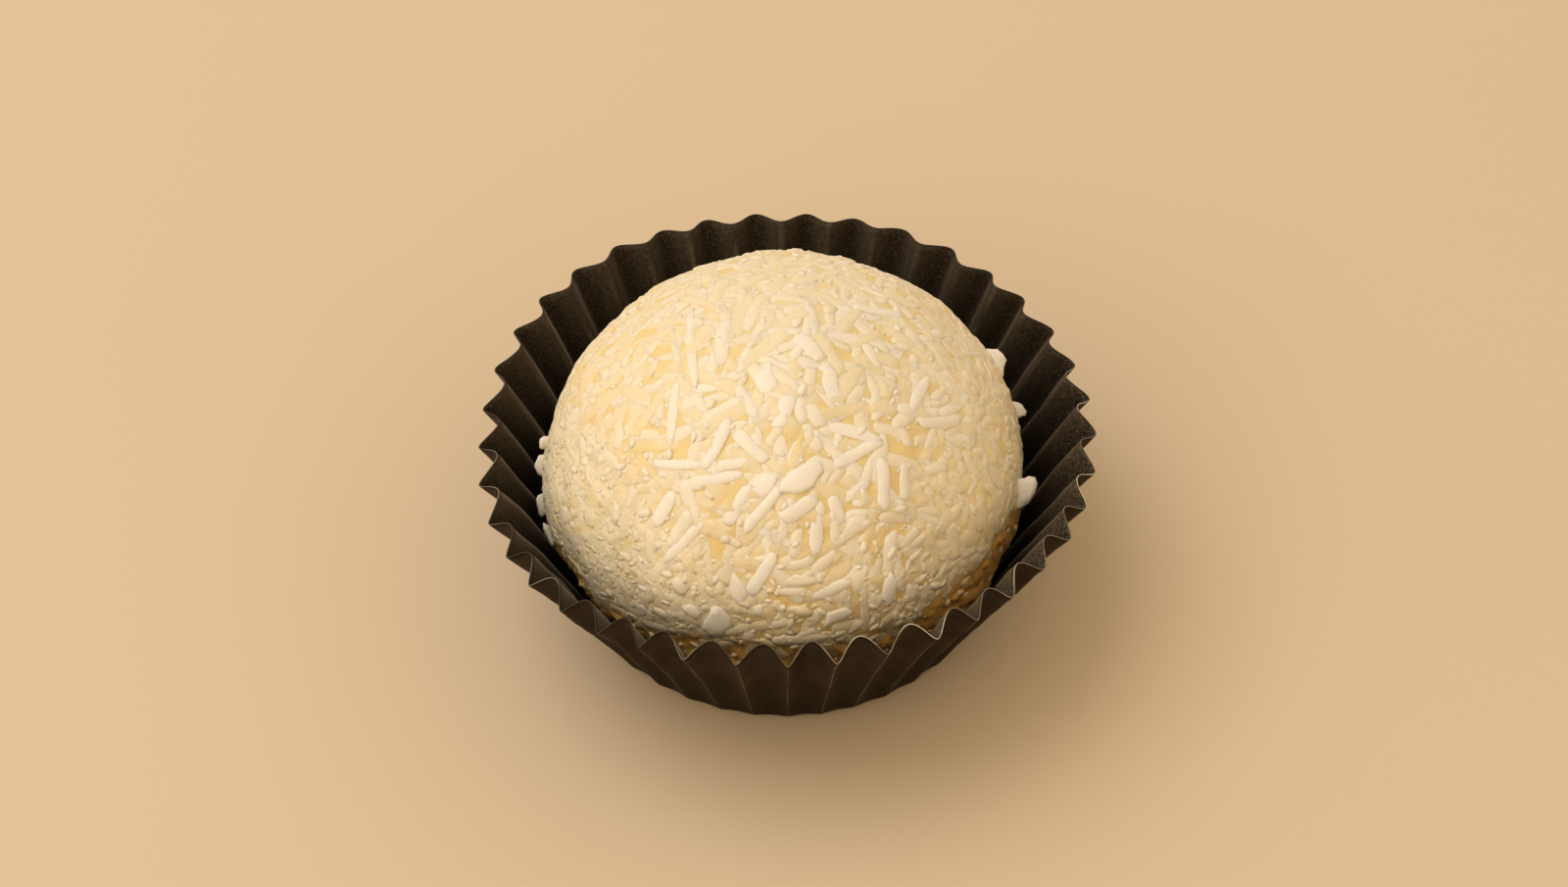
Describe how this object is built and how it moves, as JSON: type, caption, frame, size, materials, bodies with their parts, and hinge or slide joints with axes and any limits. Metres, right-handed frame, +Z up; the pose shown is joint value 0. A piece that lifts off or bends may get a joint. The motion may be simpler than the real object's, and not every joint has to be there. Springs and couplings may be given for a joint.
{
  "type": "brigadeiro",
  "caption": "Soft round rolled sweet coated in coconut shreds, sitting in a thin fluted black paper case with a flat base.",
  "frame": {"origin": "middle of the underside of the paper case's base, on the surface that it stands on", "axes": "+Z up through the sweet's top, -Y towards the side that the sweet leans to"},
  "size_m": [0.0399, 0.0393, 0.0232],
  "materials": {
    "paper_case": "black greaseproof paper with a low sheen",
    "sweet": "cooked condensed milk, creamy and a little glossy, under white coconut shreds"
  },
  "bodies": {
    "root": {"paper_case": "paper_case", "sweet": "sweet"}
  },
  "joints": []
}
